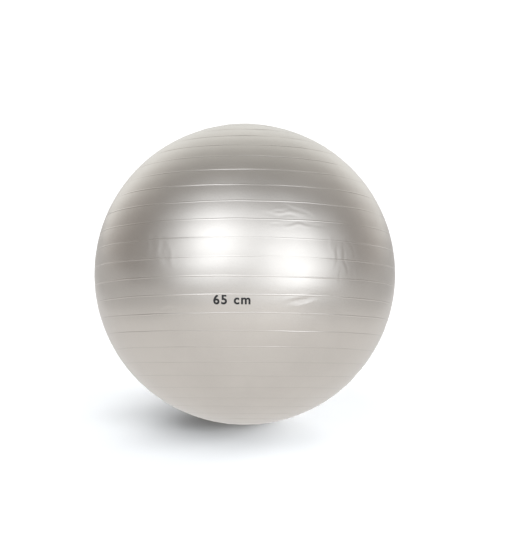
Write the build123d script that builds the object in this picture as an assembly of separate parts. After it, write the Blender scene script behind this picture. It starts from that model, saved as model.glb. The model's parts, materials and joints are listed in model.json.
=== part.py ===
"""Inflated exercise ball: a thin ribbed vinyl shell, the bush moulded into its valve boss, and the push-in plug.

Everything is in millimetres. The row frame stands on the floor: +Z is up, -Y faces the viewer, and the origin is
the centre of the flat patch that the ball rests on. The ball's own axis runs through both poles of its ribs. It
leans back from the vertical, as the ball happens to lie, and the valve sits at its upper pole.
"""

import os
from math import cos, degrees, radians, sin, sqrt

from build123d import *

# The inflated ball
BALL_RADIUS = 325.0
WALL = 0.8
CONTACT_RADIUS = 35.0  # the flat that the ball's own weight presses on the floor
AXIS_LEAN = 17.0  # degrees, from the vertical towards +Y

# The ribs are circles of latitude. The crown stretches a little more than the base as the ball fills.
RIB_HEIGHT = 0.7
RIB_WIDTH = 3.0
RIB_LATITUDE = 1.1  # degrees, of the rib next to the equator
RIB_PITCH = 6.57  # degrees, beside that rib
RIB_STRETCH = 0.037  # degrees more, for each rib squared, towards the crown
RIBS_BELOW = 14
RIBS_ABOVE = 12

# The valve, measured down the ball's axis from its upper pole
RING_RADIUS = 16.0  # a raised ring round the valve, of the ribs' own section
DISH_RADIUS = 12.0
DISH_DEPTH = 2.4
BOSS_RADIUS = 19.0
BOSS_DEPTH = 8.0
BOSS_CHAMFER = 3.0
SEAT_RADIUS = 7.5
SEAT_END_RADIUS = 6.2
SEAT_LENGTH = 21.0
SEAT_FLANGE_RADIUS = 15.0
SEAT_FLANGE = 1.6
SEAT_BORE_RADIUS = 4.2
SEAT_MOUTH_CHAMFER = 0.8

# The plug
HEAD_RADIUS = 10.0
HEAD_THICKNESS = 2.0
HEAD_ROUND = 0.7
DIMPLE_RADIUS = 3.0
DIMPLE_DEPTH = 0.8
STEM_CLEARANCE = 0.05  # radial, between the stem's rings and the seat's bore
STEM_CORE_RADIUS = 3.7
STEM_LENGTH = 22.0
STEM_TIP_RADIUS = 2.6
STEM_RINGS = 3
RING_PITCH = 5.0
RING_LENGTH = 2.4
CORE_HOLE_RADIUS = 1.6
CORE_HOLE_DEPTH = 15.0

CENTRE_HEIGHT = sqrt(BALL_RADIUS**2 - CONTACT_RADIUS**2)
DISH_FLOOR = BALL_RADIUS - DISH_DEPTH
BOSS_END = BALL_RADIUS - BOSS_DEPTH


def in_place(shape):
    """Moves a shape from the ball's own axis, with its centre at the origin, into the row frame."""
    return Pos(0, 0, CENTRE_HEIGHT) * Rot(-AXIS_LEAN, 0, 0) * shape


def on_meridian(radius, latitude):
    """A point of the ball's XZ section, at that distance from its centre and that latitude in degrees."""
    return (radius * cos(radians(latitude)), radius * sin(radians(latitude)))


def rib_latitudes():
    """The latitude of each rib from the lower pole to the upper, and last that of the ring round the valve."""
    ribs = [
        RIB_LATITUDE + RIB_PITCH * n + RIB_STRETCH * n * n
        for n in range(-RIBS_BELOW, RIBS_ABOVE + 1)
    ]
    return ribs + [90 - degrees(RING_RADIUS / BALL_RADIUS)]


def ribbed_ball():
    """The solid inside the ball's outer skin, turned from one half section."""
    half_width = degrees(RIB_WIDTH / 2 / BALL_RADIUS)
    stops = [-90.0]
    for latitude in rib_latitudes():
        stops += [latitude - half_width, latitude + half_width]
    stops.append(90.0)
    arcs = []
    for n, (low, high) in enumerate(zip(stops, stops[1:])):
        on_rib = n % 2 == 1
        crest = BALL_RADIUS + (RIB_HEIGHT if on_rib else 0)
        arcs.append(
            ThreePointArc(
                on_meridian(BALL_RADIUS, low),
                on_meridian(crest, (low + high) / 2),
                on_meridian(BALL_RADIUS, high),
            )
        )
    axis_line = Line(on_meridian(BALL_RADIUS, 90), on_meridian(BALL_RADIUS, -90))
    section = Plane.XZ * make_face(arcs + [axis_line])
    return revolve(section, Axis.Z)


def above(height):
    """A block that fills the room above that height in the row frame."""
    side = 3 * BALL_RADIUS
    return Pos(0, 0, height) * Box(side, side, side, align=(Align.CENTER, Align.CENTER, Align.MIN))


def turned(points):
    """A solid turned about the ball's axis from a closed outline of (radius, height) points."""
    outline = Plane.XZ * make_face(Polyline(*points, close=True))
    return revolve(outline, Axis.Z)


def round_bar(radius, low, high):
    """A round bar on the ball's axis, from one height to the other."""
    return Pos(0, 0, low) * Cylinder(radius, high - low, align=(Align.CENTER, Align.CENTER, Align.MIN))


def ball_shell():
    """The vinyl shell: ribs outside, a smooth wall inside, a flat foot, and a thick boss with the valve's dish."""
    skin = in_place(ribbed_ball()) & above(0)
    air = in_place(Sphere(BALL_RADIUS - WALL)) & above(WALL)
    boss_block = turned(
        [
            (0, BOSS_END),
            (BOSS_RADIUS - BOSS_CHAMFER, BOSS_END),
            (BOSS_RADIUS, BOSS_END + BOSS_CHAMFER),
            (BOSS_RADIUS, BALL_RADIUS),
            (0, BALL_RADIUS),
        ]
    )
    boss = boss_block & Sphere(BALL_RADIUS - WALL / 2)
    dish = round_bar(DISH_RADIUS, DISH_FLOOR, BALL_RADIUS + 1)
    seat_hole = round_bar(SEAT_RADIUS, BOSS_END - 1, BALL_RADIUS)
    return skin - air + in_place(boss) - in_place(dish) - in_place(seat_hole)


def valve_seat():
    """The bush bonded in the boss: a tapered tube with its flange against the boss's inner end."""
    end = DISH_FLOOR - SEAT_LENGTH
    bush = turned(
        [
            (SEAT_BORE_RADIUS, end),
            (SEAT_END_RADIUS, end),
            (SEAT_RADIUS, BOSS_END - SEAT_FLANGE),
            (SEAT_FLANGE_RADIUS, BOSS_END - SEAT_FLANGE),
            (SEAT_FLANGE_RADIUS, BOSS_END),
            (SEAT_RADIUS, BOSS_END),
            (SEAT_RADIUS, DISH_FLOOR),
            (SEAT_BORE_RADIUS + SEAT_MOUTH_CHAMFER, DISH_FLOOR),
            (SEAT_BORE_RADIUS, DISH_FLOOR - SEAT_MOUTH_CHAMFER),
        ]
    )
    return in_place(bush)


def plug_ring(top):
    """One sealing ring of the stem, crowned so that it slides in either way."""
    crest = SEAT_BORE_RADIUS - STEM_CLEARANCE
    return turned(
        [
            (0, top),
            (STEM_CORE_RADIUS, top),
            (crest, top - RING_LENGTH / 3),
            (crest, top - 2 * RING_LENGTH / 3),
            (STEM_CORE_RADIUS, top - RING_LENGTH),
            (0, top - RING_LENGTH),
        ]
    )


def valve_plug():
    """The plug: a round head with a finger dimple, and a ringed stem that is hollow from its tip."""
    head = round_bar(HEAD_RADIUS, DISH_FLOOR, DISH_FLOOR + HEAD_THICKNESS)
    head = fillet(head.edges().group_by(Axis.Z)[-1], HEAD_ROUND)
    head -= round_bar(DIMPLE_RADIUS, DISH_FLOOR + HEAD_THICKNESS - DIMPLE_DEPTH, BALL_RADIUS + 1)
    tip = DISH_FLOOR - STEM_LENGTH
    taper = STEM_CORE_RADIUS - STEM_TIP_RADIUS
    stem = turned(
        [
            (0, tip),
            (STEM_TIP_RADIUS, tip),
            (STEM_CORE_RADIUS, tip + 2 * taper),
            (STEM_CORE_RADIUS, DISH_FLOOR),
            (0, DISH_FLOOR),
        ]
    )
    plug = head + stem
    for n in range(STEM_RINGS):
        plug += plug_ring(DISH_FLOOR - RING_PITCH * (n + 0.5))
    plug -= round_bar(CORE_HOLE_RADIUS, tip - 1, tip + CORE_HOLE_DEPTH)
    return in_place(plug)


def main():
    os.makedirs("parts", exist_ok=True)
    nodes = {
        "ball_shell": ball_shell(),
        "valve_seat": valve_seat(),
        "valve_plug": valve_plug(),
    }
    for name, solid in nodes.items():
        export_step(solid, f"parts/{name}.step")
        print(name, "volume", round(solid.volume), "mm3, solids", len(solid.solids()), "valid", solid.is_valid)


main()
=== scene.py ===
"""Inflated pearl vinyl exercise ball, laid out as a Blender add-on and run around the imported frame.

Lengths are metres and angles are degrees unless a name says otherwise. The ball's own axis runs through both
poles of its ribs and through its valve. Longitude 0 faces the viewer and grows towards the viewer's right.
"""

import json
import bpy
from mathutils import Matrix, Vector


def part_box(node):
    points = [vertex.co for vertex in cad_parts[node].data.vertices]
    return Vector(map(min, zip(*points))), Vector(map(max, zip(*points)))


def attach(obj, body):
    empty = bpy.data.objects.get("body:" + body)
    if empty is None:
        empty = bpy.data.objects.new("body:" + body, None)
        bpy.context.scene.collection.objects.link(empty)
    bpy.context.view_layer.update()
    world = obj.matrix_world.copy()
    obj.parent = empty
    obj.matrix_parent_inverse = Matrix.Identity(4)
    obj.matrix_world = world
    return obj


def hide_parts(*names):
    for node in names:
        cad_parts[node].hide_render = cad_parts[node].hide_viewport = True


bl_info = {
    "name": "Exercise ball",
    "version": (1, 0, 0),
    "blender": (4, 5, 0),
    "location": "3D View > Sidebar > Exercise ball",
    "description": "Builds a ribbed pearl vinyl exercise ball, its size mark, its valve and a plain studio",
    "category": "Add Mesh",
}

from math import asin, cos, degrees, pi, radians, sin, sqrt

import bmesh
import bpy
import numpy as np
from bpy.props import FloatProperty, FloatVectorProperty, PointerProperty, StringProperty
from mathutils import Quaternion, Vector

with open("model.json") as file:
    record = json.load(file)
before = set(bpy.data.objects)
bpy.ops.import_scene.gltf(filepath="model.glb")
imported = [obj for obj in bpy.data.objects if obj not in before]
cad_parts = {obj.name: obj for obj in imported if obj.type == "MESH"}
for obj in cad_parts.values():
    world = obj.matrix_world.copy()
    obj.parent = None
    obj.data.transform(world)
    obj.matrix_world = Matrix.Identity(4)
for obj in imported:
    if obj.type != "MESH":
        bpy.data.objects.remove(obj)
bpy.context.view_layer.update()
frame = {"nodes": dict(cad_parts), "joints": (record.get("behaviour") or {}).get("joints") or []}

# The frame's own facts
SHELL_LOW, SHELL_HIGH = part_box("ball_shell")
BALL_AXIS = Vector(frame["joints"][0]["axis"]).normalized()
BALL_SIDE = Vector((1, 0, 0))
BALL_FRONT = BALL_SIDE.cross(BALL_AXIS)

# The shell, as the frame has it
RIB_HEIGHT = 0.0007
BALL_RADIUS = round((SHELL_HIGH.x - SHELL_LOW.x) / 2 - RIB_HEIGHT, 3)
CONTACT_RADIUS = 0.035
CENTRE_HEIGHT = sqrt(BALL_RADIUS**2 - CONTACT_RADIUS**2)
WALL = 0.0008
RIB_HALF_WIDTH = 0.0015
RIB_LATITUDE = 1.1
RIB_PITCH = 6.57
RIB_STRETCH = 0.037
RIBS_BELOW = 14
RIBS_ABOVE = 12
RING_RADIUS = 0.016
DISH_RADIUS = 0.012
DISH_DEPTH = 0.0024
BOSS_RADIUS = 0.019
BOSS_DEPTH = 0.008
BOSS_CHAMFER = 0.003
SEAT_RADIUS = 0.0075
EDGE_ROUND = 0.0004

# How finely the skin is divided, in degrees
FINE_STEP = 0.42
MIDDLE_STEP = 0.8
WIDE_STEP = 3.5
ROW_STEP = 0.42
FAR_ROW_STEP = 1.35
CREASED_BELT = 24
RIB_PROFILE = [-1.4, -1.0, -0.68, -0.34, 0.0, 0.34, 0.68, 1.0, 1.4]  # rows across a rib, in its half widths
INSIDE_ROWS = 40

# The front of the belly, where the ribs stand least proud: its middle and how far it reaches, in degrees
BELLY_LATITUDE, BELLY_LONGITUDE = 5, 2
BELLY_HEIGHT, BELLY_WIDTH = 13, 32

# Towards the poles, the relief of the skin dies out over so many degrees below that latitude
CALM_LATITUDE, CALM_REACH = 86, 12
BULGE_LATITUDE, BULGE_REACH = 80, 10

# The size mark's letters
LETTER_SPACING = 1.2
LETTER_BOLDNESS = 0.045  # share of the letters' height
CAPITAL_SHARE = 0.73  # a capital's height as a share of the font's size
LETTER_CUT = 0.0022  # the largest flat patch of ink


# ----------------------------------------------------------------------------------------------------
# Settings


class BallSizes(bpy.types.PropertyGroup):
    """Sizes of the skin's relief and of the printed mark."""

    swell: FloatProperty(
        name="Swell", description="How far the skin undulates about a true ball", default=0.00035,
        unit="LENGTH",
    )
    bulge: FloatProperty(
        name="Bulge", description="How far the skin bulges between two ribs", default=0.0003, unit="LENGTH"
    )
    rib_height: FloatProperty(
        name="Rib height", description="Height of a rib's rounded crest above the skin", default=0.0006,
        unit="LENGTH",
    )
    rib_wander: FloatProperty(
        name="Rib wander", description="How far a rib strays from its circle", default=0.0009, unit="LENGTH"
    )
    rib_fading: FloatProperty(
        name="Rib fading", description="Share of a rib's height that is lost where it fades", default=0.6,
        subtype="FACTOR",
    )
    belly_fading: FloatProperty(
        name="Belly fading", description="Share of a rib's height that is lost on the front of the belly",
        default=0.55, subtype="FACTOR",
    )
    crease_depth: FloatProperty(
        name="Crease depth", description="Depth of a full-strength fold crease", default=0.00045,
        unit="LENGTH",
    )
    mark_height: FloatProperty(
        name="Mark height", description="Height of the printed mark's capitals", default=0.0185, unit="LENGTH"
    )
    mark_lift: FloatProperty(
        name="Ink thickness", description="How far the ink stands above the skin", default=0.00008,
        unit="LENGTH",
    )
    mark_longitude: FloatProperty(
        name="Mark longitude", description="Where the middle of the mark is, in degrees", default=-4.5
    )
    mark_latitude: FloatProperty(
        name="Mark latitude", description="Where the middle of the mark is, in degrees", default=-13.5
    )
    mark_text: StringProperty(name="Mark", description="The printed size mark", default="65 cm")


class BallFinish(bpy.types.PropertyGroup):
    """Colours and gloss of the vinyl and the ink."""

    pearl: FloatVectorProperty(
        name="Pearl vinyl", description="Colour of the shell", default=(0.592, 0.552, 0.508), subtype="COLOR",
        min=0, max=1,
    )
    pearl_share: FloatProperty(
        name="Pearl share", description="Share of light that the flakes mirror", default=0.88,
        subtype="FACTOR",
    )
    pearl_roughness: FloatProperty(
        name="Pearl roughness", description="Roughness of the shell", default=0.36, subtype="FACTOR"
    )
    plug: FloatVectorProperty(
        name="Plug vinyl", description="Colour of the valve plug", default=(0.80, 0.80, 0.77),
        subtype="COLOR", min=0, max=1,
    )
    seat: FloatVectorProperty(
        name="Seat vinyl", description="Colour of the valve seat", default=(0.50, 0.49, 0.46),
        subtype="COLOR", min=0, max=1,
    )
    ink: FloatVectorProperty(
        name="Ink", description="Colour of the printed mark", default=(0.006, 0.006, 0.007), subtype="COLOR",
        min=0, max=1,
    )


class StudioSettings(bpy.types.PropertyGroup):
    """The camera and the lights round the ball."""

    lens: FloatProperty(name="Lens", description="Focal length in millimetres", default=82.7)
    camera_distance: FloatProperty(
        name="Camera distance", description="From the ball's centre", default=2.7625, unit="LENGTH"
    )
    camera_elevation: FloatProperty(
        name="Camera elevation", description="In degrees above the ball's centre", default=12.0
    )
    camera_roll: FloatProperty(name="Camera roll", description="In degrees, clockwise", default=0.42)
    aim_right: FloatProperty(
        name="Aim right", description="How far right of the ball's centre the camera aims", default=0.022,
        unit="LENGTH",
    )
    aim_down: FloatProperty(
        name="Aim down", description="How far below the ball's centre the camera aims", default=0.005,
        unit="LENGTH",
    )
    glow: FloatProperty(
        name="Room glow", description="Strength of all the soft lights of the room", default=1.0
    )
    floor_light: FloatProperty(
        name="Floor light", description="Strength of all the lights that reach only the floor", default=1.0
    )


class ExerciseBallSettings(bpy.types.PropertyGroup):
    """All settings of the exercise ball."""

    sizes: PointerProperty(type=BallSizes)
    finish: PointerProperty(type=BallFinish)
    studio: PointerProperty(type=StudioSettings)


# ----------------------------------------------------------------------------------------------------
# The ball's shape


def ball_point(longitude, latitude, radius):
    """A point in the row frame, by degrees round and up the ball's axis and distance from its centre."""
    round_axis = BALL_FRONT * cos(radians(longitude)) + BALL_SIDE * sin(radians(longitude))
    outward = round_axis * cos(radians(latitude)) + BALL_AXIS * sin(radians(latitude))
    return Vector((0, 0, CENTRE_HEIGHT)) + outward * radius


def rib_latitudes():
    """The latitude of each rib, lower pole to upper, and last that of the ring round the valve."""
    ribs = [RIB_LATITUDE + RIB_PITCH * n + RIB_STRETCH * n * n for n in range(-RIBS_BELOW, RIBS_ABOVE + 1)]
    return ribs + [90 - degrees(RING_RADIUS / BALL_RADIUS)]


# Fold creases: longitude and latitude of the middle, heading in degrees from along the ribs towards the
# upper pole, length, width, strength (negative stands proud) and how far the line weaves. Lengths are in mm.
CREASES = [
    # short ones that lie along the ribs, right of the middle and above it
    (14.0, 15.9, -3, 95, 3.0, 0.7, 2.2),
    (19.0, 12.3, 4, 78, 2.6, -0.8, 2.4),
    (12.5, 17.3, 14, 46, 2.4, 0.6, 1.6),
    (17.5, 18.7, -24, 52, 2.6, 0.5, 1.2),
    (22.5, 17.2, -30, 44, 2.6, 0.4, 1.0),
    (10.8, 12.6, 0, 26, 2.2, 0.6, 0.6),
    (27.0, 12.8, 3, 50, 2.6, 0.4, 1.0),
    # steep ones on the right
    (33.8, 2.4, 82, 66, 3.2, 0.45, 1.6),
    (37.6, 1.0, 101, 84, 3.4, 0.5, 2.2),
    (31.4, 6.5, 96, 52, 4.0, -0.25, 1.2),
    (41.5, 5.0, 116, 70, 3.8, 0.35, 1.8),
    (43.0, -4.0, 97, 58, 4.2, -0.3, 1.6),
    (35.2, -4.6, 88, 46, 3.0, 0.3, 1.0),
    # the long pair that climbs to the right, below the middle
    (19.5, -13.4, 17, 78, 3.2, 0.8, 1.6),
    (21.5, -14.9, 14, 70, 3.0, -0.7, 1.4),
    (23.5, -18.9, -3, 48, 2.8, 0.6, 0.6),
    # faint ones on the left
    (-30.0, 4.0, 98, 76, 4.0, 0.55, 2.2),
    (-26.5, 2.0, 104, 70, 4.0, -0.5, 1.8),
    (-34.5, 6.0, 92, 62, 3.8, 0.45, 1.4),
    (-29.0, -16.5, 6, 40, 2.8, 0.5, 0.8),
    (-34.0, -18.5, 2, 36, 2.6, 0.4, 0.8),
    # the back and the flanks
    (96.0, 8.0, 12, 90, 3.6, 0.6, 2.0),
    (104.0, -9.0, 84, 90, 4.0, 0.5, 2.6),
    (151.0, 14.0, -8, 84, 3.4, 0.6, 2.0),
    (163.0, -3.0, 95, 90, 4.0, 0.5, 2.8),
    (-128.0, 6.0, 20, 96, 3.6, 0.6, 2.0),
    (-141.0, -15.0, 80, 80, 4.0, 0.4, 2.4),
    (-84.0, 19.0, 4, 70, 3.4, 0.5, 1.6),
]


def crease_relief(longitude, latitude, depth):
    """How far the fold creases move the skin outwards. The angles are arrays in degrees."""
    height = np.zeros_like(longitude)
    to_mm = 1000 * BALL_RADIUS * pi / 180
    for n, (mid_lon, mid_lat, heading, length, width, strength, weave) in enumerate(CREASES):
        across = (longitude - mid_lon) * to_mm * cos(radians(mid_lat))
        up = (latitude - mid_lat) * to_mm
        along = across * cos(radians(heading)) + up * sin(radians(heading))
        aside = up * cos(radians(heading)) - across * sin(radians(heading))
        near = (np.abs(along) < length / 2) & (np.abs(aside) < 5 * width + weave)
        s, d = along[near], aside[near]
        bend = weave * np.sin(2 * pi * s / (0.62 * length) + 1.7 * n) + 0.3 * weave * np.sin(s / 5.1 + n)
        fade = (1 - (2 * s / length) ** 2) ** 1.5
        valley = np.exp(-(((d - bend) / width) ** 2))
        shoulder = np.exp(-(((d - bend - 2.1 * width) / (1.3 * width)) ** 2))
        height[near] += depth * strength * fade * (0.55 * shoulder - valley)
    return height


def swell_relief(longitude, latitude, amount):
    """Slow undulation of the skin, as an array in metres."""
    lon, lat = np.radians(longitude), np.radians(latitude)
    x, y, z = np.cos(lat) * np.cos(lon), np.cos(lat) * np.sin(lon), np.sin(lat)
    waves = np.sin(5.3 * x + 2.1 * y + 0.4) * np.sin(4.7 * z - 1.9 * x + 1.1)
    waves = waves + 0.5 * np.sin(9.1 * y + 3.3 * z + 2.0) * np.sin(7.9 * x - 4.1 * z + 0.3)
    waves = waves + 0.28 * np.sin(17.3 * z + 8.9 * y) * np.sin(15.1 * y - 12.7 * x + 0.8)
    return amount * waves


def bulge_relief(latitude, amount):
    """The bulge of the skin between its ribs, as an array in metres. It dies out at the poles."""
    ribs = rib_latitudes()
    place = np.interp(latitude, ribs, np.arange(len(ribs)))
    fade = np.clip((BULGE_LATITUDE - np.abs(latitude)) / BULGE_REACH, 0, 1)
    return amount * fade * (np.sin(pi * (place % 1.0)) - 2 / pi)


def skin_relief(longitude, latitude, sizes):
    """Everything but the ribs that moves the skin off a true ball, as an array in metres."""
    creases = crease_relief(longitude, latitude, sizes.crease_depth)
    slow = swell_relief(longitude, latitude, sizes.swell)
    return creases + slow + bulge_relief(latitude, sizes.bulge)


def stations(start, end, step_at):
    """Angles from start to end, each one step past the last, stretched so that the last is the end."""
    angles = [start]
    while angles[-1] < end:
        angles.append(angles[-1] + step_at(angles[-1]))
    if end - angles[-2] < 0.35 * (angles[-1] - angles[-2]):
        angles.pop()
    stretch = (end - start) / (angles[-1] - start)
    return [start + (a - start) * stretch for a in angles]


def longitude_step(longitude):
    """Degrees between meridians: close together over the creases, wide elsewhere."""
    if 30 < longitude < 47:
        return FINE_STEP
    if -38 < longitude < 52:
        return MIDDLE_STEP
    return WIDE_STEP


def latitude_rows():
    """Rows of the outer skin up to the dish's rim, as (latitude, share of the rib's height, rib number)."""
    half = degrees(RIB_HALF_WIDTH / BALL_RADIUS)
    ribs = rib_latitudes()
    rim = 90 - degrees((DISH_RADIUS + EDGE_ROUND) / BALL_RADIUS)
    rows = []
    last = -90.0
    for n, rib in enumerate(ribs):
        start, end = last, rib + RIB_PROFILE[0] * half
        middle = (start + end) / 2
        step = ROW_STEP if abs(middle) < CREASED_BELT else FAR_ROW_STEP
        between = stations(start, end, lambda latitude: step)[1:-1]
        rows += [(latitude, 0.0, n) for latitude in between]
        for t in RIB_PROFILE:
            if rib + t * half < rim:
                rows.append((rib + t * half, 0.5 + 0.5 * cos(pi * min(1, abs(t))), n))
        last = rib + RIB_PROFILE[-1] * half
    return rows + [(rim, 0.0, len(ribs))]


def inside_profile():
    """The rest of the section, from the dish's rim inwards, as (distance from the axis, height)."""
    rim_height = sqrt(BALL_RADIUS**2 - DISH_RADIUS**2)
    floor = BALL_RADIUS - DISH_DEPTH
    boss_end = BALL_RADIUS - BOSS_DEPTH
    inner = BALL_RADIUS - WALL
    points = [
        (DISH_RADIUS + EDGE_ROUND * 0.3, rim_height - EDGE_ROUND * 0.3),
        (DISH_RADIUS, rim_height - EDGE_ROUND),
        (DISH_RADIUS, floor + EDGE_ROUND),
        (DISH_RADIUS - EDGE_ROUND * 0.3, floor + EDGE_ROUND * 0.3),
        (DISH_RADIUS - EDGE_ROUND, floor),
        (SEAT_RADIUS + EDGE_ROUND, floor),
        (SEAT_RADIUS, floor - EDGE_ROUND),
        (SEAT_RADIUS, boss_end + EDGE_ROUND),
        (SEAT_RADIUS + EDGE_ROUND, boss_end),
        (BOSS_RADIUS - BOSS_CHAMFER, boss_end),
        (BOSS_RADIUS, boss_end + BOSS_CHAMFER),
        (BOSS_RADIUS, sqrt(inner**2 - BOSS_RADIUS**2)),
    ]
    first = 90 - degrees(asin(BOSS_RADIUS / inner))
    for latitude in np.linspace(first, -90, INSIDE_ROWS)[1:-1]:
        points.append((inner * cos(radians(latitude)), inner * sin(radians(latitude))))
    return points


def new_object(name, mesh):
    """Links a new object to the scene."""
    item = bpy.data.objects.new(name, mesh)
    bpy.context.scene.collection.objects.link(item)
    return item


def skin_faces(row_count, column_count):
    """The faces between the rows, and the two caps that close on the poles, which are the last two points."""
    faces = []
    for r in range(row_count - 1):
        low, high = r * column_count, (r + 1) * column_count
        for c in range(column_count):
            d = (c + 1) % column_count
            faces.append((low + c, low + d, high + d, high + c))
    top = (row_count - 1) * column_count
    outer_pole = row_count * column_count
    inner_pole = outer_pole + 1
    for c in range(column_count):
        d = (c + 1) % column_count
        faces.append((outer_pole, d, c))
        faces.append((inner_pole, top + c, top + d))
    return faces


def skin_mesh(sizes):
    """The whole shell as one closed mesh: ribbed skin outside, dish and boss, and a smooth wall inside."""
    columns = np.array(stations(-180, 180, longitude_step)[:-1])
    rows = latitude_rows()
    latitude = np.array([row[0] for row in rows])[:, None] + 0 * columns
    rib_share = np.array([row[1] for row in rows])[:, None]
    rib_number = np.array([row[2] for row in rows])[:, None]
    longitude = columns[None, :] + 0 * latitude
    turn = np.radians(longitude)
    wander = np.sin(2 * turn + 2.3 * rib_number) + 0.6 * np.sin(5 * turn + 4.1 * rib_number)
    wander = wander + 0.45 * np.sin(11 * turn + 1.3 * rib_number)
    wander = wander + 0.25 * np.sin(27 * turn + 5.7 * rib_number)
    calm = np.clip((CALM_LATITUDE - np.abs(latitude)) / CALM_REACH, 0, 1)
    latitude = latitude + calm * wander * degrees(sizes.rib_wander / 2 / BALL_RADIUS)
    fading = 0.5 + 0.5 * np.sin(3 * turn + 2.9 * rib_number) * np.sin(7 * turn + 1.1 * rib_number)
    crest = sizes.rib_height * rib_share * (1 - sizes.rib_fading * fading * (calm > 0))
    off_belly = ((latitude - BELLY_LATITUDE) / BELLY_HEIGHT) ** 2
    belly = np.exp(-off_belly - ((longitude - BELLY_LONGITUDE) / BELLY_WIDTH) ** 2)
    crest = crest * (1 - sizes.belly_fading * belly)
    radius = BALL_RADIUS + crest + skin_relief(longitude, latitude, sizes) * calm
    tilt = np.radians(latitude)
    rho, height = radius * np.cos(tilt), radius * np.sin(tilt)
    inside = np.array(inside_profile())
    inside_rho = inside[:, :1] + 0 * columns[None, :]
    inside_height = inside[:, 1:] + 0 * columns[None, :]
    rho = np.vstack([rho, inside_rho])
    height = np.vstack([height, inside_height])
    turn = np.vstack([turn, np.radians(columns)[None, :] + 0 * inside_rho])
    front, side, axis = (np.array(v) for v in (BALL_FRONT, BALL_SIDE, BALL_AXIS))
    points = (
        (rho * np.cos(turn))[..., None] * front
        + (rho * np.sin(turn))[..., None] * side
        + height[..., None] * axis
        + np.array((0, 0, CENTRE_HEIGHT))
    )
    outer_rows = len(rows)
    points[:outer_rows, :, 2] = np.maximum(points[:outer_rows, :, 2], 0)
    points[outer_rows:, :, 2] = np.maximum(points[outer_rows:, :, 2], WALL)
    row_count, column_count = rho.shape
    outer_pole = ball_point(0, -90, BALL_RADIUS)
    inner_pole = ball_point(0, -90, BALL_RADIUS - WALL)
    vertices = [tuple(v) for v in points.reshape(-1, 3)] + [tuple(outer_pole), tuple(inner_pole)]
    faces = skin_faces(row_count, column_count)
    mesh = bpy.data.meshes.new("vinyl_skin")
    mesh.from_pydata(vertices, [], faces)
    mesh.update()
    mesh.shade_smooth()
    relief = mesh.attributes.new("rib", "FLOAT", "POINT")
    share = np.zeros(len(vertices), np.float32)
    share[: rib_share.shape[0] * column_count] = (rib_share + 0 * longitude).reshape(-1)
    relief.data.foreach_set("value", share)
    return mesh


def mark_mesh(sizes):
    """The printed mark: letters cut fine enough to hug the skin, each a thin closed slab of ink."""
    text = bpy.data.curves.new("mark_letters", "FONT")
    text.body = sizes.mark_text
    text.align_x = "CENTER"
    text.space_character = LETTER_SPACING
    text.offset = sizes.mark_height * LETTER_BOLDNESS
    text.resolution_u = 6
    text.size = sizes.mark_height / CAPITAL_SHARE
    text.extrude = 0.5
    letters = new_object("mark_letters", text)
    depsgraph = bpy.context.evaluated_depsgraph_get()
    mesh = bpy.data.meshes.new_from_object(letters.evaluated_get(depsgraph))
    bpy.data.objects.remove(letters)
    bpy.data.curves.remove(text)
    mesh.name = "size_mark"
    cut = bmesh.new()
    cut.from_mesh(mesh)
    bmesh.ops.remove_doubles(cut, verts=cut.verts, dist=1e-6)
    for axis in (0, 1):
        places = [v.co[axis] for v in cut.verts]
        count = int((max(places) - min(places)) / LETTER_CUT)
        for n in range(1, count + 1):
            point, normal = Vector((0, 0, 0)), Vector((0, 0, 0))
            point[axis] = min(places) + n * LETTER_CUT
            normal[axis] = 1
            everything = cut.verts[:] + cut.edges[:] + cut.faces[:]
            bmesh.ops.bisect_plane(cut, geom=everything, plane_co=point, plane_no=normal, dist=1e-6)
    bmesh.ops.triangulate(cut, faces=cut.faces)
    middle = sizes.mark_height / 2
    lat = np.array([sizes.mark_latitude + degrees((v.co.y - middle) / BALL_RADIUS) for v in cut.verts])
    round_radius = BALL_RADIUS * cos(radians(sizes.mark_latitude))
    lon = np.array([sizes.mark_longitude + degrees(v.co.x / round_radius) for v in cut.verts])
    relief = skin_relief(lon, lat, sizes)
    for n, vertex in enumerate(cut.verts):
        lift = sizes.mark_lift if vertex.co.z > 0 else -sizes.mark_lift
        vertex.co = ball_point(lon[n], lat[n], BALL_RADIUS + relief[n] + lift)
    bmesh.ops.recalc_face_normals(cut, faces=cut.faces)
    cut.to_mesh(mesh)
    cut.free()
    return mesh


# ----------------------------------------------------------------------------------------------------
# Shader helpers and shared effects


class Nodes:
    """Adds nodes to a tree."""

    def __init__(self, tree):
        self.tree = tree

    def add(self, kind, inputs=(), **settings):
        """A node with settings on itself, and a dictionary of values or sockets for its inputs."""
        node = self.tree.nodes.new(kind)
        for key, value in settings.items():
            setattr(node, key, value)
        for key, value in dict(inputs).items():
            if isinstance(value, bpy.types.NodeSocket):
                self.tree.links.new(value, node.inputs[key])
            else:
                node.inputs[key].default_value = value
        return node

    def math(self, operation, a, b=0.0, clamp=False):
        """The output of a Math node."""
        return self.add("ShaderNodeMath", {0: a, 1: b}, operation=operation, use_clamp=clamp).outputs[0]

    def remap(self, value, low, high, to_low, to_high):
        """The output of a Map Range node, eased at both ends."""
        inputs = {"Value": value, "From Min": low, "From Max": high, "To Min": to_low, "To Max": to_high}
        return self.add("ShaderNodeMapRange", inputs, interpolation_type="SMOOTHSTEP").outputs["Result"]

    def noise(self, vector, scale, detail=2.0, roughness=0.5):
        """The factor of a Noise texture."""
        inputs = {"Vector": vector, "Scale": scale, "Detail": detail, "Roughness": roughness}
        return self.add("ShaderNodeTexNoise", inputs).outputs["Fac"]

    def mix(self, factor, a, b):
        """The colour of a Mix node."""
        node = self.add("ShaderNodeMix", data_type="RGBA")
        for key, value in ((0, factor), (6, a), (7, b)):
            if isinstance(value, bpy.types.NodeSocket):
                self.tree.links.new(value, node.inputs[key])
            else:
                node.inputs[key].default_value = value
        return node.outputs[2]


def colour(rgb):
    """A colour with its alpha."""
    return (*rgb[:3], 1.0)


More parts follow.
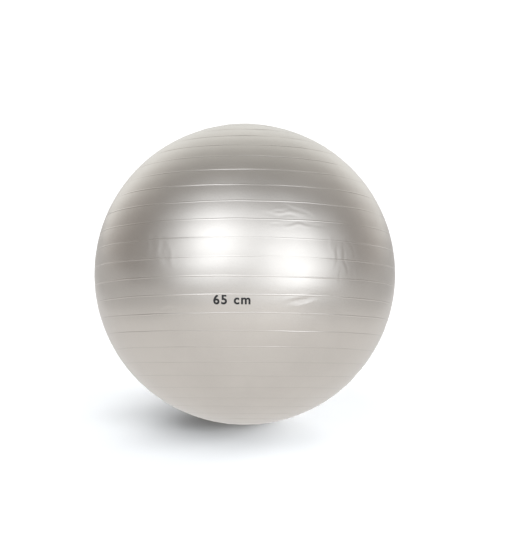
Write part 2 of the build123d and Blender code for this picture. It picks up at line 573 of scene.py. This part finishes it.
def new_group(name, inputs, outputs):
    """A shader node group with named sockets, each (name, type, default), and its two end nodes."""
    tree = bpy.data.node_groups.new(name, "ShaderNodeTree")
    for socket_name, kind, default in inputs:
        socket = tree.interface.new_socket(socket_name, in_out="INPUT", socket_type=kind)
        if default is not None:
            socket.default_value = default
    for socket_name, kind in outputs:
        tree.interface.new_socket(socket_name, in_out="OUTPUT", socket_type=kind)
    nodes = Nodes(tree)
    return tree, nodes, nodes.add("NodeGroupInput"), nodes.add("NodeGroupOutput")


def moulded_grain_group():
    """Fine pebbling that vinyl takes from its mould, with the slow waviness of a soft skin."""
    tree, nodes, start, end = new_group(
        "moulded_grain",
        [
            ("Vector", "NodeSocketVector", None),
            ("Grain Size", "NodeSocketFloat", 0.0016),
            ("Waviness", "NodeSocketFloat", 0.4),
        ],
        [("Height", "NodeSocketFloat"), ("Pits", "NodeSocketFloat")],
    )
    scale = nodes.math("DIVIDE", 1.0, start.outputs["Grain Size"])
    pebbles = nodes.add(
        "ShaderNodeTexVoronoi", {"Vector": start.outputs["Vector"], "Scale": scale}, feature="SMOOTH_F1"
    ).outputs["Distance"]
    fine = nodes.noise(start.outputs["Vector"], nodes.math("MULTIPLY", scale, 2.3), 3.0)
    slow = nodes.noise(start.outputs["Vector"], nodes.math("MULTIPLY", scale, 0.09), 2.0)
    height = nodes.math("ADD", nodes.math("MULTIPLY", pebbles, 0.7), nodes.math("MULTIPLY", fine, 0.3))
    height = nodes.math("ADD", height, nodes.math("MULTIPLY", slow, start.outputs["Waviness"]))
    nodes.tree.links.new(height, end.inputs["Height"])
    nodes.tree.links.new(nodes.remap(fine, 0.28, 0.42, 1.0, 0.0), end.inputs["Pits"])
    return tree


def handling_group():
    """Marks of use: cloudy rub, hairline scratches and specks, each a mask from 0 to 1."""
    tree, nodes, start, end = new_group(
        "handling_marks",
        [("Vector", "NodeSocketVector", None), ("Amount", "NodeSocketFloat", 0.5)],
        [("Rub", "NodeSocketFloat"), ("Scratches", "NodeSocketFloat"), ("Specks", "NodeSocketFloat")],
    )
    vector = start.outputs["Vector"]
    amount = start.outputs["Amount"]
    rub = nodes.remap(nodes.noise(vector, 9.0, 5.0, 0.6), 0.42, 0.72, 0.0, 1.0)
    drawn_out = {"Vector": vector, "Rotation": (0.6, 0.9, 0.4), "Scale": (14, 420, 90)}
    stretch = nodes.add("ShaderNodeMapping", drawn_out)
    strokes = nodes.remap(nodes.noise(stretch.outputs[0], 1.0, 2.0), 0.66, 0.72, 0.0, 1.0)
    patches = nodes.remap(nodes.noise(vector, 5.0, 1.0), 0.5, 0.6, 0.0, 1.0)
    specks = nodes.remap(nodes.noise(vector, 260.0, 1.0), 0.74, 0.78, 0.0, 1.0)
    nodes.tree.links.new(nodes.math("MULTIPLY", rub, amount, clamp=True), end.inputs["Rub"])
    strokes = nodes.math("MULTIPLY", strokes, patches)
    nodes.tree.links.new(nodes.math("MULTIPLY", strokes, amount, clamp=True), end.inputs["Scratches"])
    nodes.tree.links.new(nodes.math("MULTIPLY", specks, amount, clamp=True), end.inputs["Specks"])
    return tree


def shared_group(name, build):
    """The named node group, built on first use."""
    return bpy.data.node_groups.get(name) or build()


def new_material(name):
    """A new material, its nodes, its Principled shader and the object's own coordinates."""
    material = bpy.data.materials.new(name)
    material.use_nodes = True
    nodes = Nodes(material.node_tree)
    shader = next(n for n in material.node_tree.nodes if n.type == "BSDF_PRINCIPLED")
    place = nodes.add("ShaderNodeTexCoord").outputs["Object"]
    return material, nodes, shader, place


def place_group(nodes, name, build, inputs):
    """Places a shared group in a material, with that material's own values."""
    return nodes.add("ShaderNodeGroup", inputs, node_tree=shared_group(name, build))


def pearl_vinyl(finish):
    """Pearlescent vinyl: flakes that mirror softly, cloudy pigment, rubbed ribs with painted shade along
    them, pebbled grain.
    """
    material, nodes, shader, place = new_material("pearl_vinyl")
    link = nodes.tree.links.new
    pebbling = {"Vector": place, "Grain Size": 0.0014, "Waviness": 0.9}
    grain = place_group(nodes, "moulded_grain", moulded_grain_group, pebbling)
    marks = place_group(nodes, "handling_marks", handling_group, {"Vector": place, "Amount": 0.45})
    rib = nodes.add("ShaderNodeAttribute", attribute_name="rib").outputs["Fac"]
    base = colour(finish.pearl)
    deep = colour([c * 0.93 for c in finish.pearl])
    pale = colour([min(1.0, c * 1.06) for c in finish.pearl])
    clouds = nodes.remap(nodes.noise(place, 7.0, 4.0, 0.55), 0.35, 0.65, 0.0, 1.0)
    flakes = nodes.remap(nodes.noise(place, 1500.0, 1.0), 0.35, 0.65, 0.0, 1.0)
    tone = nodes.mix(clouds, deep, base)
    tone = nodes.mix(nodes.math("MULTIPLY", flakes, 0.5), tone, pale)
    tone = nodes.mix(nodes.math("MULTIPLY", marks.outputs["Specks"], 0.35), tone, colour([0.35, 0.33, 0.30]))
    # Painted shade along the ribs: they are darkened most on the lower part of the ball, less towards the
    # equator and hardly above it.
    height = nodes.add("ShaderNodeSeparateXYZ", {0: place}).outputs["Z"]
    rib_shade = nodes.remap(height, 0.23, 0.32, 0.55, 0.08)
    tone = nodes.mix(nodes.math("MULTIPLY", rib, rib_shade), tone, colour([c * 0.8 for c in finish.pearl]))
    link(tone, shader.inputs["Base Color"])
    gloss = nodes.math("ADD", nodes.math("MULTIPLY", marks.outputs["Rub"], 0.07), finish.pearl_roughness)
    gloss = nodes.math("ADD", gloss, nodes.math("MULTIPLY", marks.outputs["Scratches"], 0.12))
    gloss = nodes.math("SUBTRACT", gloss, nodes.math("MULTIPLY", rib, 0.04))
    link(gloss, shader.inputs["Roughness"])
    shader.inputs["Metallic"].default_value = finish.pearl_share
    shader.inputs["Coat Weight"].default_value = 0.25
    shader.inputs["Coat Roughness"].default_value = 0.3
    bump = nodes.add(
        "ShaderNodeBump", {"Height": grain.outputs["Height"], "Strength": 0.25, "Distance": 0.00012}
    )
    link(bump.outputs["Normal"], shader.inputs["Normal"])
    return material


def moulded_vinyl(name, rgb, roughness, grain_size, bump_depth):
    """Plain moulded vinyl for the small parts."""
    material, nodes, shader, place = new_material(name)
    link = nodes.tree.links.new
    pebbling = {"Vector": place, "Grain Size": grain_size, "Waviness": 0.5}
    grain = place_group(nodes, "moulded_grain", moulded_grain_group, pebbling)
    marks = place_group(nodes, "handling_marks", handling_group, {"Vector": place, "Amount": 0.6})
    # Darker in the grain's pits.
    pit_tone = colour([c * 0.82 for c in rgb])
    tone = nodes.mix(nodes.math("MULTIPLY", grain.outputs["Pits"], 0.4), colour(rgb), pit_tone)
    link(tone, shader.inputs["Base Color"])
    gloss = nodes.math("ADD", nodes.math("MULTIPLY", marks.outputs["Rub"], 0.12), roughness)
    link(gloss, shader.inputs["Roughness"])
    shader.inputs["Specular IOR Level"].default_value = 0.5
    bump = nodes.add(
        "ShaderNodeBump", {"Height": grain.outputs["Height"], "Strength": 0.5, "Distance": bump_depth}
    )
    link(bump.outputs["Normal"], shader.inputs["Normal"])
    return material


def mark_ink(finish):
    """Black screen ink, a little thin in places."""
    material, nodes, shader, place = new_material("mark_ink")
    link = nodes.tree.links.new
    marks = place_group(nodes, "handling_marks", handling_group, {"Vector": place, "Amount": 1.0})
    thin = nodes.remap(nodes.noise(place, 900.0, 3.0), 0.6, 0.8, 0.0, 0.3)
    tone = nodes.mix(thin, colour(finish.ink), colour([0.04, 0.039, 0.037]))
    link(tone, shader.inputs["Base Color"])
    gloss = nodes.math("ADD", nodes.math("MULTIPLY", marks.outputs["Rub"], 0.1), 0.42)
    link(gloss, shader.inputs["Roughness"])
    return material


# ----------------------------------------------------------------------------------------------------
# The studio


def aim(item, target):
    """Turns a camera or a light so that it looks at a point."""
    item.rotation_mode = "QUATERNION"
    item.rotation_quaternion = (Vector(target) - item.location).to_track_quat("-Z", "Y")


def direction(azimuth, elevation):
    """A unit vector from the ball, by degrees to the viewer's right of the front and degrees up."""
    flat = cos(radians(elevation))
    return Vector((flat * sin(radians(azimuth)), -flat * cos(radians(azimuth)), sin(radians(elevation))))


def add_camera(studio):
    """The camera, a little above the ball's centre and a hair out of level."""
    data = bpy.data.cameras.new("camera")
    data.lens = studio.lens
    data.sensor_width = 36.0
    data.clip_end = 100
    camera = new_object("camera", data)
    centre = Vector((0, 0, CENTRE_HEIGHT))
    camera.location = centre + direction(0, studio.camera_elevation) * studio.camera_distance
    aim(camera, centre + Vector((studio.aim_right, 0, -studio.aim_down)))
    roll = Quaternion((0, 0, 1), radians(studio.camera_roll))
    camera.rotation_quaternion = camera.rotation_quaternion @ roll
    bpy.context.scene.camera = camera


WHITE_STRENGTH = 1.2  # of what stands for the white room behind the ball
FLOOR_HALF = 14.0
FLOOR_CELLS = 8
FLOOR_LEVEL = -0.0003  # just under the ball's foot, so that the two don't flicker
LIGHT_DISTANCE = 3

# What lights only the floor: a ring of equal low lights round the right and the back, and one high one on
# the left. Angles are in degrees.
LOW_LIGHT_AZIMUTHS = (50, 90, 130, 170)
LOW_LIGHT_ELEVATION = 12
LOW_LIGHT_WIDTH = 28
LOW_LIGHT_STRENGTH = 11
HIGH_LIGHT_AZIMUTH = -60
HIGH_LIGHT_ELEVATION = 66
HIGH_LIGHT_WIDTH = 50
HIGH_LIGHT_STRENGTH = 4.5


def add_floor_light(name, azimuth, elevation, width, strength, receivers):
    """One very wide soft light that reaches only the floor. Its width is in degrees."""
    data = bpy.data.lights.new(name, "SUN")
    data.angle = radians(width)
    data.energy = strength
    light = new_object(name, data)
    light.location = direction(azimuth, elevation) * LIGHT_DISTANCE
    aim(light, (0, 0, 0))
    light.light_linking.receiver_collection = receivers
    light.visible_camera = False
    light.visible_glossy = False


def add_floor_lights(studio, receivers):
    """The low ring and the high light of the floor."""
    low, high = LOW_LIGHT_STRENGTH * studio.floor_light, HIGH_LIGHT_STRENGTH * studio.floor_light
    for azimuth in LOW_LIGHT_AZIMUTHS:
        name = f"low_light_{azimuth}"
        add_floor_light(name, azimuth, LOW_LIGHT_ELEVATION, LOW_LIGHT_WIDTH, low, receivers)
    add_floor_light("high_light", HIGH_LIGHT_AZIMUTH, HIGH_LIGHT_ELEVATION, HIGH_LIGHT_WIDTH, high, receivers)


def add_floor(receivers):
    """The pale floor, which shows brighter to the camera than it does in the ball's gloss."""
    mesh = bpy.data.meshes.new("floor")
    ticks = [FLOOR_HALF * (2 * n / FLOOR_CELLS - 1) for n in range(FLOOR_CELLS + 1)]
    vertices = [(x, y, FLOOR_LEVEL) for y in ticks for x in ticks]
    side = FLOOR_CELLS + 1
    faces = [
        (r * side + c, r * side + c + 1, (r + 1) * side + c + 1, (r + 1) * side + c)
        for r in range(FLOOR_CELLS)
        for c in range(FLOOR_CELLS)
    ]
    mesh.from_pydata(vertices, [], faces)
    floor = bpy.data.objects.new("floor", mesh)
    receivers.objects.link(floor)
    material, nodes, shader, place = new_material("pale_floor")
    shader.inputs["Base Color"].default_value = colour([0.275, 0.28, 0.285])
    shader.inputs["Roughness"].default_value = 1.0
    shader.inputs["Specular IOR Level"].default_value = 0.0
    away = nodes.add("ShaderNodeVectorMath", {0: place}, operation="LENGTH").outputs["Value"]
    white = nodes.add("ShaderNodeEmission", {"Color": (1, 1, 1, 1), "Strength": WHITE_STRENGTH})
    beyond = nodes.remap(away, 0.8, 1.15, 0.0, 1.0)
    shown = nodes.add("ShaderNodeMixShader", {0: beyond, 1: shader.outputs[0], 2: white.outputs[0]})
    aside = nodes.math("ABSOLUTE", nodes.add("ShaderNodeSeparateXYZ", {0: place}).outputs["X"])
    dimmer = nodes.remap(aside, 0.8, 1.2, 0.0, 1.0)
    ahead = nodes.remap(nodes.add("ShaderNodeSeparateXYZ", {0: place}).outputs["Y"], -1.0, -0.6, 1.0, 0.0)
    tone = nodes.mix(ahead, colour(FLOOR_GLOW), colour(FLOOR_FRONT_GLOW))
    tone = nodes.mix(dimmer, tone, colour(FLOOR_FAR_GLOW))
    even = nodes.add("ShaderNodeEmission", {"Color": tone})
    seen = nodes.add("ShaderNodeLightPath").outputs["Is Camera Ray"]
    both = nodes.add("ShaderNodeMixShader", {0: seen, 1: even.outputs[0], 2: shown.outputs[0]})
    output = next(n for n in material.node_tree.nodes if n.type == "OUTPUT_MATERIAL")
    nodes.tree.links.new(both.outputs[0], output.inputs["Surface"])
    mesh.materials.append(material)


# Tints of the room's lights
COOL = (0.93, 1.0, 1.08)
PLAIN = (0.95, 1.0, 1.0)
WARM = (1.1, 1.0, 1.0)

# Soft lights of the room as the ball mirrors them: azimuth, elevation, how tight each is, tint and strength.
ROOM_LIGHTS = {
    "left bank, low": (-28, 24, 11, COOL, 1.9),
    "left bank, high": (-28, 45, 12, COOL, 1.6),
    "right bank, high": (42, 34, 12, COOL, 1.5),
    "right bank, low": (38, 2, 9, COOL, 2.4),
    "backdrop": (180, 35, 5, PLAIN, 0.9),
    "backdrop, left": (-150, 8, 12, PLAIN, 0.7),
    "backdrop, right": (150, 8, 12, PLAIN, 0.7),
    "left side": (-130, 3, 6, WARM, 0.2),
    "right side": (130, 3, 6, WARM, 0.2),
}
ROOM_DARK = (0.16, 0.14, 0.12)  # the room between its lights

# The floor as the ball mirrors it: near the ball, far to either side, and in front
FLOOR_GLOW = (0.9, 0.9, 0.9)
FLOOR_FAR_GLOW = (0.6, 0.6, 0.6)
FLOOR_FRONT_GLOW = (1.1, 1.1, 1.1)


def add_room(studio):
    """The room: white where the camera sees it, and soft lights in a dark surround for the ball's gloss."""
    world = bpy.data.worlds.new("room")
    bpy.context.scene.world = world
    world.use_nodes = True
    world.node_tree.nodes.clear()
    nodes = Nodes(world.node_tree)
    towards = nodes.add("ShaderNodeTexCoord").outputs["Generated"]
    total = nodes.add("ShaderNodeCombineXYZ", {0: ROOM_DARK[0], 1: ROOM_DARK[1], 2: ROOM_DARK[2]}).outputs[0]
    for azimuth, elevation, tightness, rgb, strength in ROOM_LIGHTS.values():
        middle = tuple(direction(azimuth, elevation))
        facing = nodes.add("ShaderNodeVectorMath", {0: towards, 1: middle}, operation="DOT_PRODUCT")
        match = facing.outputs["Value"]
        fall = nodes.math("EXPONENT", nodes.math("MULTIPLY", nodes.math("SUBTRACT", match, 1.0), tightness))
        light = tuple(c * strength for c in rgb)
        scaled = nodes.add("ShaderNodeVectorMath", {0: light, "Scale": fall}, operation="SCALE").outputs[0]
        total = nodes.add("ShaderNodeVectorMath", {0: total, 1: scaled}, operation="ADD").outputs[0]
    room = nodes.add("ShaderNodeBackground", {"Color": total, "Strength": studio.glow})
    white = nodes.add("ShaderNodeBackground", {"Color": (1, 1, 1, 1), "Strength": WHITE_STRENGTH})
    seen = nodes.add("ShaderNodeLightPath").outputs["Is Camera Ray"]
    both = nodes.add("ShaderNodeMixShader", {0: seen, 1: room.outputs[0], 2: white.outputs[0]})
    nodes.add("ShaderNodeOutputWorld", {"Surface": both.outputs[0]})


# ----------------------------------------------------------------------------------------------------
# Operators


class BALL_OT_skin(bpy.types.Operator):
    """Builds the ribbed vinyl shell in place of the frame's plain one"""

    bl_idname = "exercise_ball.skin"
    bl_label = "Vinyl skin"

    def execute(self, context):
        settings = context.scene.exercise_ball
        skin = new_object("vinyl_skin", skin_mesh(settings.sizes))
        skin.data.materials.append(pearl_vinyl(settings.finish))
        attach(skin, "ball")
        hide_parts("ball_shell")
        return {"FINISHED"}


class BALL_OT_mark(bpy.types.Operator):
    """Prints the size mark on the front of the skin"""

    bl_idname = "exercise_ball.mark"
    bl_label = "Size mark"

    def execute(self, context):
        settings = context.scene.exercise_ball
        mark = new_object("size_mark", mark_mesh(settings.sizes))
        mark.data.materials.append(mark_ink(settings.finish))
        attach(mark, "ball")
        return {"FINISHED"}


class BALL_OT_valve(bpy.types.Operator):
    """Gives the frame's valve seat and plug their moulded vinyl"""

    bl_idname = "exercise_ball.valve"
    bl_label = "Valve seat and plug"

    def execute(self, context):
        finish = context.scene.exercise_ball.finish
        for node, rgb, roughness in (("valve_seat", finish.seat, 0.5), ("valve_plug", finish.plug, 0.4)):
            part = frame["nodes"][node]
            material = moulded_vinyl(f"{node}_vinyl", list(rgb), roughness, 0.0006, 0.00005)
            part.data.materials.clear()
            part.data.materials.append(material)
        return {"FINISHED"}


class BALL_OT_stage(bpy.types.Operator):
    """Sets out the floor, the room, the lights and the camera"""

    bl_idname = "exercise_ball.stage"
    bl_label = "Studio"

    def execute(self, context):
        scene = context.scene
        studio = scene.exercise_ball.studio
        scene.view_settings.view_transform = "Standard"
        floor_only = bpy.data.collections.new("floor_only")
        scene.collection.children.link(floor_only)
        add_floor(floor_only)
        add_camera(studio)
        add_room(studio)
        add_floor_lights(studio, floor_only)
        return {"FINISHED"}


class BALL_PT_panel(bpy.types.Panel):
    """Lists the ball's operators and settings"""

    bl_idname = "BALL_PT_panel"
    bl_label = "Exercise ball"
    bl_space_type = "VIEW_3D"
    bl_region_type = "UI"
    bl_category = "Exercise ball"

    def draw(self, context):
        settings = context.scene.exercise_ball
        for operator in OPERATORS:
            self.layout.operator(operator.bl_idname)
        for group in (settings.sizes, settings.finish, settings.studio):
            box = self.layout.box()
            for name in group.__annotations__:
                box.prop(group, name)


OPERATORS = (BALL_OT_skin, BALL_OT_mark, BALL_OT_valve, BALL_OT_stage)
CLASSES = (BallSizes, BallFinish, StudioSettings, ExerciseBallSettings, *OPERATORS, BALL_PT_panel)


def register():
    """Registers the classes and hangs the settings on the scene."""
    for cls in CLASSES:
        bpy.utils.register_class(cls)
    bpy.types.Scene.exercise_ball = PointerProperty(type=ExerciseBallSettings)


def unregister():
    """Takes everything off again."""
    del bpy.types.Scene.exercise_ball
    for cls in reversed(CLASSES):
        bpy.utils.unregister_class(cls)


def main():
    """Builds every piece in order."""
    register()
    bpy.ops.exercise_ball.skin()
    bpy.ops.exercise_ball.mark()
    bpy.ops.exercise_ball.valve()
    bpy.ops.exercise_ball.stage()


if __name__ == "__main__":
    main()
